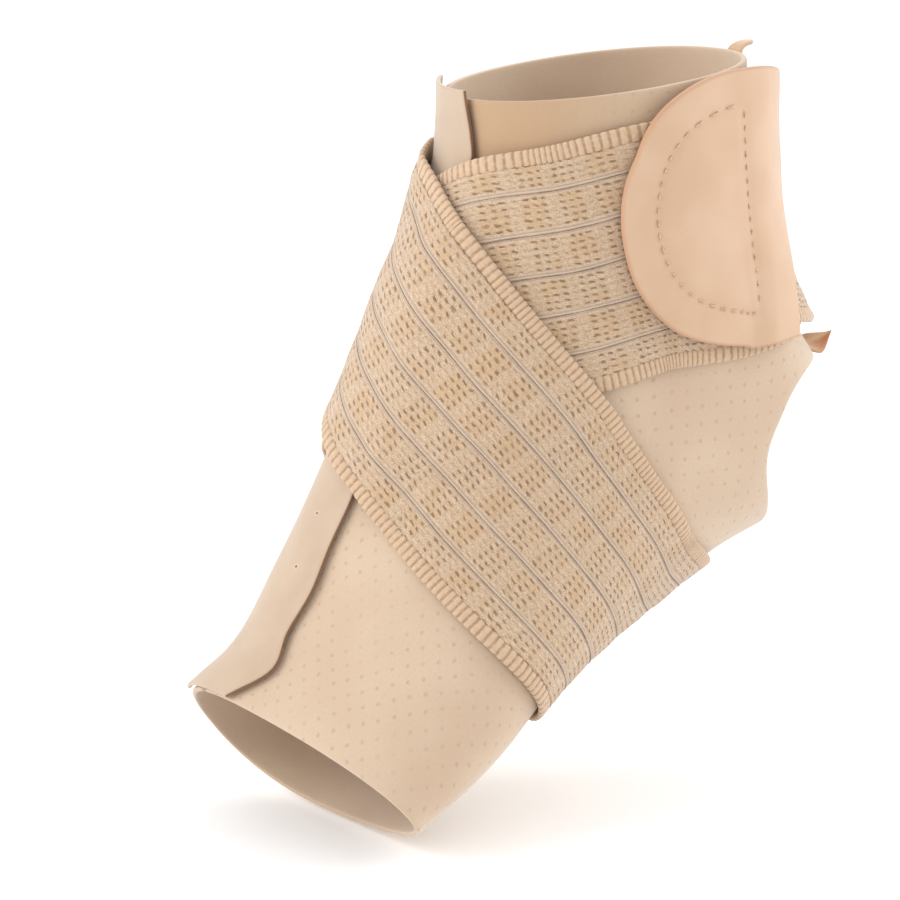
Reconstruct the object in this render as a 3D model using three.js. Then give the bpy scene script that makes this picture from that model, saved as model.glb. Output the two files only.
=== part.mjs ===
// An ankle brace in its worn form: an open-toed sleeve with an open heel, a closing flap down
// the instep, one elastic strap wound in a figure of eight, and a half-round hook tab at its end.
// Millimetres. +Z runs up the leg, -X points to the toes and -Y to the outer side of a left foot.
// The origin is the middle of the ankle, inside the sleeve.
import * as THREE from 'three';

// Form of the foot and leg inside, from the middle of the ankle.
const FOOT_REACH = 107; // forward to the toe edge
const FOOT_DROP = 116; // down to the toe edge
const HEEL_REACH = 65; // back to the heel
const LEG_RISE = 75; // up to the top rim
const FOOT_WIDTH = 77; // across the ball of the foot

// Sleeve, with its front slit under the flap and its opening round the heel.
const SLEEVE_WALL = 1.5;
const SLIT_WIDTH = 2;
const OPENING_LENGTH = 58; // down the back of the heel
const OPENING_WIDTH = 86; // round the heel
const OPENING_END = 8; // straight top and bottom of the opening

// Closing flap, and the seam down the back of the leg with its two free ends.
const FLAP_WIDTH = 26;
const FLAP_WALL = 1.2;
const FLAP_RISE = 2; // above the rim
const SEAM_WIDTH = 8;
const SEAM_WALL = 1;
const SEAM_BEND = 4; // along the leg, in which a free end turns outward
const SEAM_RISE = 2; // above the rim
const SEAM_DROP = 5; // below the top of the heel opening
const TOP_LIP = 6; // how far the upper end stands out
const HEEL_LIP = 11; // how far the lower end stands out

// Elastic strap and hook tab.
const STRAP_WIDTH = 63;
const STRAP_WALL = 1.7;
const TAB_WALL = 1.6;
const TAB_LENGTH = 60;
const TAB_WIDTH = 71;
const TAB_STRAIGHT = 25; // from the sewn edge to where the round end starts
const TAB_OVERLAP = 14; // of the strap's end under the tab

// Room between layers, and how a layer comes down beside what it lies over.
const LAYER_GAP = 0.65;
const STEP_ROOM = 6; // kept at full height past an edge
const STEP_RAMP = 14; // then down to the layer below

// Sections from the toe edge to the top rim, evenly numbered. The front and back points are
// shares of FOOT_REACH and FOOT_DROP where negative, and of HEEL_REACH and LEG_RISE where
// positive. The width is a share of half FOOT_WIDTH and the skew one of FOOT_WIDTH.
// Columns: front x, front z, back x, back z, width, skew, wedge, egg, roundness.
const SECTIONS = [
  [-1.0, -0.74, -0.765, -1.0, 1.0, 0.03, 0.56, 0.08, 2.4],
  [-0.864, -0.608, -0.57, -0.92, 0.975, 0.09, 0.39, 0.1, 2.3],
  [-0.765, -0.43, -0.38, -0.806, 0.925, 0.1, 0.31, 0.07, 2.25],
  [-0.687, -0.26, -0.187, -0.7, 0.895, 0.08, 0.24, 0.05, 2.2],
  [-0.626, -0.095, 0.045, -0.6, 0.883, 0.04, 0.16, 0.03, 2.15],
  [-0.584, 0.053, 0.4, -0.5, 0.888, 0.01, 0.08, 0.02, 2.15],
  [-0.551, 0.213, 0.785, -0.405, 0.917, 0, 0.04, 0.06, 2.15],
  [-0.507, 0.36, 1.0, -0.203, 0.935, 0, 0, 0.08, 2.15],
  [-0.46, 0.5, 0.755, 0.047, 0.925, 0, 0, 0.03, 2.15],
  [-0.427, 0.642, 0.592, 0.353, 0.9, 0, 0, 0, 2.1],
  [-0.415, 0.767, 0.52, 0.667, 0.883, 0, 0, 0, 2.1],
  [-0.413, 0.88, 0.51, 1.0, 0.868, 0, 0, 0, 2.1],
];

// Height of the strap's middle line on the sleeve, 0 at the toe edge and 1 at the rim, one
// value every 30 degrees: from behind the ankle round the outer side, over the instep, under
// the sole, up across the instep again, round behind the ankle and back to the outer side.
const ROUTE_START = 195;
const ROUTE_STEP = 30;
const ROUTE_TURN = 850; // from the strap's start to the tip of the tab
const ROUTE = [
  0.881, 0.858, 0.83, 0.801, 0.756, 0.664, 0.566, 0.506, 0.473, 0.443, 0.414, 0.386, 0.353, 0.325,
  0.296, 0.298, 0.313, 0.35, 0.414, 0.516, 0.647, 0.695, 0.724, 0.766, 0.802, 0.828, 0.848, 0.831,
  0.765, 0.681,
];

// Free edge of the flap in degrees round from the front, one value every twentieth of the
// sleeve's height.
const FLAP_EDGE = [
  -16.5, -6, -10.2, -7, -6.4, -4, -3, -2.2, -1.4, -0.6, 0.2, 1, 2.5, 4, 5.5, 7, 9, 10, 8.5, 6.5,
  4.5,
];

// Places that stay with the form: shares of the sleeve's height, and degrees round it.
const OPENING_MIDDLE = 0.6;
const OPENING_ROUND = 2.5;
const SEAM_ANGLE = 172;
const SEAM_TAPER = 0.5;

// Fineness of the meshes.
const SIDE_CELLS = 20;
const FOOT_CELLS = 11;
const OPENING_CELLS = 9;
const LEG_CELLS = 7;
const STRAP_CELLS = [108, 11];
const FLAP_CELLS = [32, 5];
const TAB_CELLS = [11, 14];
const SEAM_CELLS = [12, 2];
const BEND_CELLS = 6;
const ROUTE_SAMPLES = 720;
const WALK_STEP = 4;
const HEADING_STEP = 1;
const RATE_STEP = 1e-3;

const BACK = Math.PI;
const TURN = 2 * Math.PI;
const { clamp, degToRad, lerp, smoothstep } = THREE.MathUtils;

// Smooth curve through evenly numbered rows, which runs on straight past its ends.
function spline(rows, x) {
  const last = rows.length - 1;
  const i = clamp(Math.floor(x), 0, last - 1);
  const f = x - i;
  const row = (k) => {
    if (k < 0) return rows[0].map((value, c) => 2 * value - rows[1][c]);
    if (k > last) return rows[last].map((value, c) => 2 * value - rows[last - 1][c]);
    return rows[k];
  };
  const [p, q, r, s] = [row(i - 1), row(i), row(i + 1), row(i + 2)];
  return q.map((_, c) => {
    const bend = 2 * p[c] - 5 * q[c] + 4 * r[c] - s[c];
    const twist = 3 * q[c] - p[c] - 3 * r[c] + s[c];
    return q[c] + 0.5 * f * (r[c] - p[c] + f * (bend + f * twist));
  });
}

// The same for a plain list of values, at a share of the way along it.
function valueAt(values, share) {
  return spline(values.map((value) => [value]), share * (values.length - 1))[0];
}

const alongX = (share) => share * (share < 0 ? FOOT_REACH : HEEL_REACH);
const alongZ = (share) => share * (share < 0 ? FOOT_DROP : LEG_RISE);
const FORM = SECTIONS.map(([frontX, frontZ, backX, backZ, width, skew, ...shape]) => [
  alongX(frontX),
  alongZ(frontZ),
  alongX(backX),
  alongZ(backZ),
  (width * FOOT_WIDTH) / 2,
  skew * FOOT_WIDTH,
  ...shape,
]);

// Point of the foot and leg at height t on the sleeve and angle a round it. Angle 0 is the
// front, a quarter turn the outer side and half a turn the back.
function skin(t, a) {
  const [fx, fz, bx, bz, width, skew, wedge, egg, round] = spline(FORM, t * (FORM.length - 1));
  const depth = Math.hypot(fx - bx, fz - bz) / 2;
  const [ux, uz] = [(fx - bx) / (2 * depth), (fz - bz) / (2 * depth)];
  const [c, s] = [Math.cos(a), Math.sin(a)];
  const r = (Math.abs(c) ** round + Math.abs(s) ** round) ** (-1 / round);
  const side = r * s * (1 - egg * r * c);
  const front = depth * (r * c - (wedge * side * (1 + r * c)) / 2);
  return new THREE.Vector3(
    (fx + bx) / 2 + ux * front + uz * skew * side,
    -width * side,
    (fz + bz) / 2 + uz * front - ux * skew * side,
  );
}

// Rates along the sleeve and round it, and the outward direction.
function frameAt({ t, a }) {
  const d = RATE_STEP;
  const along = skin(t + d, a).sub(skin(t - d, a)).divideScalar(2 * d);
  const around = skin(t, a + d).sub(skin(t, a - d)).divideScalar(2 * d);
  const out = new THREE.Vector3().crossVectors(around, along).normalize();
  return { along, around, out };
}

function raised(place, height) {
  return skin(place.t, place.a).addScaledVector(frameAt(place).out, height);
}

// Place reached from a start by going straight over the form for a distance.
function walk(start, heading, distance) {
  const place = { ...start };
  const direction = heading.clone();
  const steps = Math.max(1, Math.ceil(distance / WALK_STEP));
  for (let k = 0; k < steps; k++) {
    const { along, around, out } = frameAt(place);
    direction.addScaledVector(out, -direction.dot(out)).normalize();
    const [aa, ab, bb] = [along.dot(along), along.dot(around), around.dot(around)];
    const [da, db] = [direction.dot(along), direction.dot(around)];
    const scale = distance / steps / (aa * bb - ab * ab);
    place.t += (da * bb - db * ab) * scale;
    place.a += (db * aa - da * ab) * scale;
  }
  return place;
}

// Signed angle from one direction round the sleeve to another, the short way.
function turnFrom(from, to) {
  return ((((to - from + BACK) % TURN) + TURN) % TURN) - BACK;
}

// Millimetres for each radian round the sleeve, and for its whole height, at a place.
const roundness = (place) => frameAt(place).around.length();
const tallness = (place) => frameAt(place).along.length();

const flapEdge = (t) => degToRad(valueAt(FLAP_EDGE, t));
const flapPlace = (t, across) => {
  const edge = { t, a: flapEdge(t) };
  return { t, a: edge.a - across / roundness(edge) };
};

const HEEL = { t: OPENING_MIDDLE, a: BACK };
const OPENING_HALF = OPENING_LENGTH / 2 / tallness(HEEL);
const OPENING_TOP = OPENING_MIDDLE + OPENING_HALF;
const OPENING_FOOT = OPENING_MIDDLE - OPENING_HALF;

// Half angle of the heel opening, from the back of the heel, at height t.
function openingSpread(t) {
  const off = Math.min(1, Math.abs((t - OPENING_MIDDLE) / OPENING_HALF));
  const arc = (1 - off ** OPENING_ROUND) ** (1 / OPENING_ROUND);
  return Math.max(OPENING_WIDTH * arc, OPENING_END) / 2 / roundness(HEEL);
}

// Closed solid between the inner and outer points of a grid. Open cells are left out, and
// each edge of what is left gets a wall.
function slab([rows, columns], pointsAt, isOpen = () => false) {
  const width = columns + 1;
  const side = (rows + 1) * width;
  const positions = new Float32Array(2 * side * 3);
  for (let i = 0; i <= rows; i++) {
    for (let j = 0; j <= columns; j++) {
      const { inner, outer } = pointsAt(i, j);
      inner.toArray(positions, (i * width + j) * 3);
      outer.toArray(positions, (side + i * width + j) * 3);
    }
  }
  const index = [];
  const kept = (i, j) => i >= 0 && j >= 0 && i < rows && j < columns && !isOpen(i, j);
  const quad = (p, q, r, s) => index.push(p, q, r, p, r, s);
  for (let i = 0; i < rows; i++) {
    for (let j = 0; j < columns; j++) {
      if (!kept(i, j)) continue;
      const p = i * width + j;
      const [q, r, s] = [p + 1, p + 1 + width, p + width];
      quad(side + p, side + q, side + r, side + s);
      quad(s, r, q, p);
      if (!kept(i - 1, j)) quad(p, q, side + q, side + p);
      if (!kept(i + 1, j)) quad(r, s, side + s, side + r);
      if (!kept(i, j - 1)) quad(s, p, side + p, side + s);
      if (!kept(i, j + 1)) quad(q, r, side + r, side + q);
    }
  }
  const geometry = new THREE.BufferGeometry();
  geometry.setAttribute('position', new THREE.BufferAttribute(positions, 3));
  geometry.setIndex(index);
  geometry.computeVertexNormals();
  return geometry;
}

function layer(place, height, wall) {
  return { inner: raised(place, height), outer: raised(place, height + wall) };
}

// The sleeve's two front edges meet under the flap, and its two middle columns part round
// the heel opening.
function sleeveGeometry() {
  const heights = [];
  for (let i = 0; i < FOOT_CELLS; i++) heights.push((OPENING_FOOT * i) / FOOT_CELLS);
  for (let i = 0; i <= OPENING_CELLS; i++) {
    heights.push(OPENING_MIDDLE - OPENING_HALF * Math.cos((Math.PI * i) / OPENING_CELLS));
  }
  for (let i = 1; i <= LEG_CELLS; i++) heights.push(lerp(OPENING_TOP, 1, i / LEG_CELLS));
  const pointsAt = (i, j) => {
    const t = heights[i];
    const slit = flapPlace(t, FLAP_WIDTH / 2);
    const margin = SLIT_WIDTH / 2 / roundness(slit);
    const spread = openingSpread(t);
    const a =
      j <= SIDE_CELLS
        ? lerp(slit.a + margin, BACK - spread, j / SIDE_CELLS)
        : lerp(BACK + spread, slit.a + TURN - margin, (j - SIDE_CELLS - 1) / SIDE_CELLS);
    return layer({ t, a }, 0, SLEEVE_WALL);
  };
  const inOpening = (i, j) =>
    j === SIDE_CELLS && i >= FOOT_CELLS && i < FOOT_CELLS + OPENING_CELLS;
  return slab([heights.length - 1, 2 * SIDE_CELLS + 1], pointsAt, inOpening);
}

function flapGeometry() {
  const [rows, columns] = FLAP_CELLS;
  const top = 1 + FLAP_RISE / tallness({ t: 1, a: 0 });
  const pointsAt = (i, j) => {
    const place = flapPlace((top * i) / rows, FLAP_WIDTH * (1 - j / columns));
    return layer(place, SLEEVE_WALL + LAYER_GAP, FLAP_WALL);
  };
  return slab(FLAP_CELLS, pointsAt);
}

// The seam lies flat under the strap, and its two free ends taper and turn outward.
function seamGeometry() {
  const [lengthCells, columns] = SEAM_CELLS;
  const a = degToRad(SEAM_ANGLE);
  const foot = OPENING_TOP - SEAM_DROP / tallness({ t: OPENING_TOP, a });
  const top = 1 + SEAM_RISE / tallness({ t: 1, a });
  const bend = SEAM_BEND / tallness({ t: 1, a });
  const flat = SLEEVE_WALL + LAYER_GAP;
  const corner = (t, lift) => new THREE.Vector2(t, flat + lift);
  const lowEnd = new THREE.QuadraticBezierCurve(
    corner(foot, HEEL_LIP),
    corner(foot, 0),
    corner(foot + bend, 0),
  );
  const middle = new THREE.LineCurve(corner(foot + bend, 0), corner(top - bend, 0));
  const topEnd = new THREE.QuadraticBezierCurve(
    corner(top - bend, 0),
    corner(top, 0),
    corner(top, TOP_LIP),
  );
  const profile = [
    ...lowEnd.getPoints(BEND_CELLS),
    ...middle.getPoints(lengthCells).slice(1),
    ...topEnd.getPoints(BEND_CELLS).slice(1),
  ];
  const rows = profile.length - 1;
  const middlePoint = (i) => {
    const { x: t, y: height } = profile[clamp(i, 0, rows)];
    return raised({ t, a }, height);
  };
  const pointsAt = (i, j) => {
    const { around } = frameAt({ t: profile[i].x, a });
    const across = around.normalize();
    const along = middlePoint(i + 1).sub(middlePoint(i - 1));
    const out = new THREE.Vector3().crossVectors(across, along).normalize();
    const fromEnd = Math.min(i, rows - i) / BEND_CELLS;
    const half = (SEAM_WIDTH / 2) * lerp(SEAM_TAPER, 1, Math.min(1, fromEnd));
    const inner = middlePoint(i).addScaledVector(across, half * ((2 * j) / columns - 1));
    return { inner, outer: inner.clone().addScaledVector(out, SEAM_WALL) };
  };
  return slab([rows, columns], pointsAt);
}

// The strap's middle line, sampled evenly in angle, with the length run so far.
function sampleRoute() {
  const samples = [];
  let length = 0;
  for (let k = 0; k <= ROUTE_SAMPLES; k++) {
    const turned = (ROUTE_TURN * k) / ROUTE_SAMPLES;
    const t = valueAt(ROUTE, turned / ROUTE_STEP / (ROUTE.length - 1));
    const a = degToRad(ROUTE_START - turned);
    const point = skin(t, a);
    if (k > 0) length += point.distanceTo(samples[k - 1].point);
    samples.push({ t, a, point, length });
  }
  return samples;
}

const route = sampleRoute();
const ROUTE_LENGTH = route[ROUTE_SAMPLES].length;
const TAB_START = ROUTE_LENGTH - TAB_LENGTH;
const STRAP_LENGTH = TAB_START + TAB_OVERLAP;

function alongRoute(distance) {
  const after = route.findIndex(({ length }) => length >= distance);
  const next = after < 0 ? ROUTE_SAMPLES : Math.max(1, after);
  const [from, to] = [route[next - 1], route[next]];
  const f = (distance - from.length) / (to.length - from.length);
  return { t: lerp(from.t, to.t, f), a: lerp(from.a, to.a, f) };
}

// Place at a distance along the strap and across it, positive toward the toes.
function strapPlace(distance, across) {
  const middle = alongRoute(distance);
  const before = alongRoute(Math.max(distance - HEADING_STEP, 0));
  const after = alongRoute(Math.min(distance + HEADING_STEP, ROUTE_LENGTH));
  const forward = skin(after.t, after.a).sub(skin(before.t, before.a));
  const sideways = frameAt(middle).out.cross(forward).normalize();
  return walk(middle, sideways.multiplyScalar(Math.sign(across) || 1), Math.abs(across));
}

// 1 on a piece, held past its edge by a strip of room, then smoothly down to 0.
const over = (beyond) => 1 - smoothstep(beyond, STEP_ROOM, STEP_ROOM + STEP_RAMP);

// Height that the flap and the seam add under the strap.
function coverAt(place) {
  const edge = { t: place.t, a: flapEdge(place.t) };
  const pastFlap = turnFrom(edge.a, place.a) * roundness(edge);
  const flap = over(Math.max(pastFlap, -FLAP_WIDTH - pastFlap));
  const fromSeam = Math.abs(turnFrom(degToRad(SEAM_ANGLE), place.a)) * roundness(place);
  const pastSeam = fromSeam - SEAM_WIDTH / 2;
  const seam = over(Math.max(pastSeam, (OPENING_TOP - place.t) * tallness(place)));
  return flap * (FLAP_WALL + LAYER_GAP) + seam * (SEAM_WALL + LAYER_GAP);
}

// 1 where the strap, at a distance along it, lies over one of its earlier turns.
function lapAt(place, distance) {
  const point = skin(place.t, place.a);
  const earlier = route.filter(({ length }) => length < distance - 2 * STRAP_WIDTH);
  const nearest = Math.min(...earlier.map((sample) => sample.point.distanceTo(point)));
  return over(nearest - STRAP_WIDTH / 2);
}

function strapHeight(place, distance) {
  const laps = lapAt(place, distance) * (STRAP_WALL + LAYER_GAP);
  return SLEEVE_WALL + LAYER_GAP + coverAt(place) + laps;
}

function strapGeometry() {
  const [rows, columns] = STRAP_CELLS;
  const pointsAt = (i, j) => {
    const distance = (STRAP_LENGTH * i) / rows;
    const place = strapPlace(distance, STRAP_WIDTH * (0.5 - j / columns));
    return layer(place, strapHeight(place, distance), STRAP_WALL);
  };
  return slab(STRAP_CELLS, pointsAt);
}

// The tab starts over the strap's end, steps down past it and ends in a half ellipse.
function tabGeometry() {
  const [rows, columns] = TAB_CELLS;
  const pointsAt = (i, j) => {
    const swing = Math.PI * (0.5 - j / columns);
    const reach = TAB_STRAIGHT + (TAB_LENGTH - TAB_STRAIGHT) * Math.cos(swing);
    const distance = TAB_START + (reach * i) / rows;
    const place = strapPlace(distance, (TAB_WIDTH / 2) * Math.sin(swing));
    const onStrap = over(distance - STRAP_LENGTH) * (STRAP_WALL + LAYER_GAP);
    return layer(place, strapHeight(place, distance) + onStrap, TAB_WALL);
  };
  return slab(TAB_CELLS, pointsAt);
}

function cloth(color, roughness) {
  return new THREE.MeshStandardMaterial({ color, roughness, metalness: 0 });
}

const SUBPARTS = [
  ['sleeve', sleeveGeometry, cloth('#e8d9c0', 0.95)],
  ['closure_flap', flapGeometry, cloth('#ecdcc4', 0.9)],
  ['back_seam', seamGeometry, cloth('#e9cfae', 0.9)],
  ['elastic_strap', strapGeometry, cloth('#d3bd9a', 1)],
  ['hook_tab', tabGeometry, cloth('#e8cbab', 0.8)],
];

const brace = new THREE.Group();
for (const [name, geometryOf, material] of SUBPARTS) {
  const mesh = new THREE.Mesh(geometryOf(), material);
  mesh.name = name;
  brace.add(mesh);
}

export default brace;
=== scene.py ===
"""The looks of an ankle brace: a dimpled sleeve with a closing flap, an elastic strap knitted
with rubber threads and ribbed edges, and a half-round hook tab sewn on its end.
Shapes are worked out in millimetres and put into the meshes in metres."""

import bmesh
import bpy
import numpy as np
from mathutils import Matrix, Vector


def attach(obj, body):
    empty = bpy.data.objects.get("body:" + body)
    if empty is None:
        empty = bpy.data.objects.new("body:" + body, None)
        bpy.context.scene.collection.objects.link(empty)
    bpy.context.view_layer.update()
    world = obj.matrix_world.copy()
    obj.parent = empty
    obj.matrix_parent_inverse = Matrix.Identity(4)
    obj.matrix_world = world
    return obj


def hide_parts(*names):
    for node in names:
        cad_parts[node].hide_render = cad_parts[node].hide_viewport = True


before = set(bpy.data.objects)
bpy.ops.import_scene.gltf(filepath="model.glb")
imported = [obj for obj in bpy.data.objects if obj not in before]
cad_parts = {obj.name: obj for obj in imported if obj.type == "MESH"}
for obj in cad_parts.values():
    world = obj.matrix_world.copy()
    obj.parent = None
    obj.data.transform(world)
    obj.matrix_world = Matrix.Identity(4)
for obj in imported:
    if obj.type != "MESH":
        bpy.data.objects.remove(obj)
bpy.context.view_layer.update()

MM = 0.001

# The form that every cloth is raised from, as in the part's own sections. Its shares were
# rounded from a least-squares fit to outlines marked on the photo, then changed.
FOOT_REACH, FOOT_DROP, HEEL_REACH, LEG_RISE, FOOT_WIDTH = 107, 116, 65, 75, 77
SECTIONS = np.array(
    [
        [-1.0, -0.74, -0.765, -1.0, 1.0, 0.03, 0.56, 0.08, 2.4],
        [-0.864, -0.608, -0.57, -0.92, 0.975, 0.09, 0.39, 0.1, 2.3],
        [-0.765, -0.43, -0.38, -0.806, 0.925, 0.1, 0.31, 0.07, 2.25],
        [-0.687, -0.26, -0.187, -0.7, 0.895, 0.08, 0.24, 0.05, 2.2],
        [-0.626, -0.095, 0.045, -0.6, 0.883, 0.04, 0.16, 0.03, 2.15],
        [-0.584, 0.053, 0.4, -0.5, 0.888, 0.01, 0.08, 0.02, 2.15],
        [-0.551, 0.213, 0.785, -0.405, 0.917, 0, 0.04, 0.06, 2.15],
        [-0.507, 0.36, 1.0, -0.203, 0.935, 0, 0, 0.08, 2.15],
        [-0.46, 0.5, 0.755, 0.047, 0.925, 0, 0, 0.03, 2.15],
        [-0.427, 0.642, 0.592, 0.353, 0.9, 0, 0, 0, 2.1],
        [-0.415, 0.767, 0.52, 0.667, 0.883, 0, 0, 0, 2.1],
        [-0.413, 0.88, 0.51, 1.0, 0.868, 0, 0, 0, 2.1],
    ]
)
# Heights of the strap's middle line along its route, as in the part. They weren't chosen by
# hand: the first 22 are a least-squares fit's output, rounded, and the rest lie close to it.
ROUTE_START, ROUTE_STEP, ROUTE_TURN = 195, 30, 850
ROUTE = np.array(
    [0.881, 0.858, 0.83, 0.801, 0.756, 0.664, 0.566, 0.506, 0.473, 0.443, 0.414, 0.386, 0.353,
     0.325, 0.296, 0.298, 0.313, 0.35, 0.414, 0.516, 0.647, 0.695, 0.724, 0.766, 0.802, 0.828,
     0.848, 0.831, 0.765, 0.681]
)
# The flap's free edge in degrees, evened out from points that a solver gave.
FLAP_EDGE = np.array(
    [-16.5, -6, -10.2, -7, -6.4, -4, -3, -2.2, -1.4, -0.6, 0.2, 1, 2.5, 4, 5.5, 7, 9, 10, 8.5,
     6.5, 4.5]
)
SLEEVE_WALL, FLAP_WALL, STRAP_WALL, SEAM_WALL = 1.5, 1.2, 1.7, 1.0
LAYER_GAP = 0.65
STEP_ROOM, STEP_RAMP = 4.0, 12.0
SLIT_WIDTH = 2.0
OPENING_MIDDLE, OPENING_LENGTH, OPENING_WIDTH = 0.6, 58, 86
OPENING_END, OPENING_ROUND = 8, 2.5
FLAP_WIDTH, FLAP_RISE = 26, 2
SEAM_ANGLE, SEAM_WIDTH, SEAM_BEND, SEAM_RISE, SEAM_DROP = 172, 8, 4, 2, 5
TOP_LIP, HEEL_LIP, SEAM_TAPER = 6, 11, 0.5
# The way from toe edge to rim counts as this length everywhere round the form, though the cloth
# is about 167 long at the front and 285 down the back.
WAY_LENGTH = 330
FLAP_MARKS = (76, 9.5), (56, 8.5)  # along the way and from the free edge, found by a search
STRAP_WIDTH, TAB_LENGTH, TAB_WIDTH, TAB_STRAIGHT, TAB_OVERLAP = 63, 60, 71, 25, 14
CROSS_LINE = 25  # from the sewn edge to the straight row of stitches
STITCH_INSET = 8.6  # from the outline to the round row of stitches
STITCH_PITCH, STITCH_LENGTH = 3.4, 2.1
TAB_SEWN = 4.5  # where the shown cover starts
TAB_SHOWN = 2.3  # its thickness with the hooks under it

# Knit of the strap, in millimetres.
THREAD_PITCH = 10.3
THREAD_COUNT = 5
THREAD_SIDES = 6  # points round a thread
EDGE_RIB = 4.6
RIB_PITCH = 1.7
HOLE_BLOCK = 9.3  # one block of pinholes along the strap
HOLE_ROW = 1.72  # from one row of pinholes to the next


# The form


def spline(rows, x):
    """Smooth curve through evenly numbered rows: a Catmull-Rom cubic in each interval,
    straight past both ends."""
    rows = np.asarray(rows, float)
    padded = np.concatenate([2 * rows[:1] - rows[1:2], rows, 2 * rows[-1:] - rows[-2:-1]])
    i = np.clip(np.floor(x).astype(int), 0, len(rows) - 2)
    f = x - i
    if rows.ndim > 1:
        f = f[..., None]
    p, q, r, s = (padded[i + k] for k in range(4))
    return q + 0.5 * f * (r - p + f * (2 * p - 5 * q + 4 * r - s + f * (3 * q - p - 3 * r + s)))


def scaled_form():
    """Sections in millimetres: shares ahead of and below the origin times FOOT_REACH and
    FOOT_DROP, those behind and above it times HEEL_REACH and LEG_RISE."""
    form = SECTIONS.copy()
    for column in (0, 2):
        form[:, column] *= np.where(SECTIONS[:, column] < 0, FOOT_REACH, HEEL_REACH)
    for column in (1, 3):
        form[:, column] *= np.where(SECTIONS[:, column] < 0, FOOT_DROP, LEG_RISE)
    form[:, 4] *= FOOT_WIDTH / 2
    form[:, 5] *= FOOT_WIDTH
    return form


FORM = scaled_form()


def skin(t, a):
    """Point of the form at height t and angle a: a superellipse between the section's front
    and back points, leaning by its wedge and skew."""
    fx, fz, bx, bz, width, skew, wedge, egg, roundness = np.moveaxis(
        spline(FORM, t * (len(FORM) - 1)), -1, 0
    )
    depth = np.hypot(fx - bx, fz - bz) / 2
    ux, uz = (fx - bx) / (2 * depth), (fz - bz) / (2 * depth)
    c, s = np.cos(a), np.sin(a)
    r = (np.abs(c) ** roundness + np.abs(s) ** roundness) ** (-1 / roundness)
    side = r * s * (1 - egg * r * c)
    front = depth * (r * c - wedge * side * (1 + r * c) / 2)
    return np.stack(
        [
            (fx + bx) / 2 + ux * front + uz * skew * side,
            -width * side,
            (fz + bz) / 2 + uz * front - ux * skew * side,
        ],
        -1,
    )


def dot(p, q):
    return (p * q).sum(-1)


def unit(v):
    return v / np.linalg.norm(v, axis=-1, keepdims=True)


def rates(t, a):
    """Rates of the form along and round it by central differences, and its outward normal,
    which is their cross product."""
    d = 1e-3
    along = (skin(t + d, a) - skin(t - d, a)) / (2 * d)
    around = (skin(t, a + d) - skin(t, a - d)) / (2 * d)
    return along, around, unit(np.cross(around, along))


def raised(t, a, height):
    return skin(t, a) + rates(t, a)[2] * np.asarray(height)[..., None]


def roundness_at(t, a):
    return np.linalg.norm(rates(t, a)[1], axis=-1)


def tallness_at(t, a):
    return np.linalg.norm(rates(t, a)[0], axis=-1)


def stride(t, a, way, distance):
    """Moves places straight over the form: the way is laid into the surface, and its share of
    each rate comes from the surface's metric."""
    along, around, out = rates(t, a)
    way = unit(way - dot(way, out)[..., None] * out)
    aa, ab, bb = dot(along, along), dot(along, around), dot(around, around)
    da, db = dot(way, along), dot(way, around)
    scale = distance / (aa * bb - ab * ab)
    return t + (da * bb - db * ab) * scale, a + (db * aa - da * ab) * scale, way


def smooth(x, low, high):
    f = np.clip((x - low) / (high - low), 0, 1)
    return f * f * (3 - 2 * f)


def over(beyond):
    """1 on a piece and a little past it, then smoothly down to 0."""
    return 1 - smooth(beyond, STEP_ROOM, STEP_ROOM + STEP_RAMP)


def turn_from(start, end):
    return (end - start + np.pi) % (2 * np.pi) - np.pi


def waves(seed, *coordinates, count=5, longest=60.0, shortest=18.0):
    """Low uneven relief from -1 to 1: a sum of sine waves in seeded directions, whose lengths
    run from longest to shortest."""
    rng = np.random.default_rng(seed)
    total = 0
    for k in range(count):
        length = longest * (shortest / longest) ** (k / (count - 1))
        way = unit(rng.normal(size=len(coordinates)))
        phase = rng.uniform(0, 2 * np.pi)
        total = total + np.sin(
            2 * np.pi * sum(w * c for w, c in zip(way, coordinates)) / length + phase
        )
    return total / count


# Meshes


def grid_faces(rows, columns, kept):
    """Quads of a closed slab between an inner and an outer grid: both faces of each kept cell,
    and a wall where a kept cell meets one that is not."""
    width = columns + 1
    side = (rows + 1) * width
    i, j = np.nonzero(kept)
    p = i * width + j
    q, r, s = p + 1, p + 1 + width, p + width
    faces = [
        np.stack([side + p, side + q, side + r, side + s], 1),
        np.stack([s, r, q, p], 1),
    ]
    around = np.pad(kept, 1)
    for di, dj, (x, y) in ((-1, 0, (p, q)), (1, 0, (r, s)), (0, -1, (s, p)), (0, 1, (q, r))):
        bare = ~around[i + 1 + di, j + 1 + dj]
        x, y = x[bare], y[bare]
        faces.append(np.stack([x, y, side + y, side + x], 1))
    return np.concatenate(faces)


def new_piece(name, points, faces, laid=None, painted_shade=None):
    """Mesh object from points in millimetres and faces. Its place on the cloth is kept as the
    attribute laid, which is along, across and side, and its share of painted shade as a second
    attribute."""
    used = np.unique(faces)
    renumber = np.zeros(len(points), int)
    renumber[used] = np.arange(len(used))
    mesh = bpy.data.meshes.new(name)
    mesh.from_pydata((points[used] * MM).tolist(), [], renumber[faces].tolist())
    mesh.polygons.foreach_set("use_smooth", np.full(len(mesh.polygons), True))
    if laid is not None:
        attribute = mesh.attributes.new("laid", "FLOAT_VECTOR", "POINT")
        attribute.data.foreach_set("vector", laid[used].astype(np.float32).ravel())
    if painted_shade is not None:
        attribute = mesh.attributes.new("painted_shade", "FLOAT", "POINT")
        attribute.data.foreach_set("value", painted_shade[used].astype(np.float32))
    mesh.update()
    piece = bpy.data.objects.new(name, mesh)
    bpy.context.scene.collection.objects.link(piece)
    return piece


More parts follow.
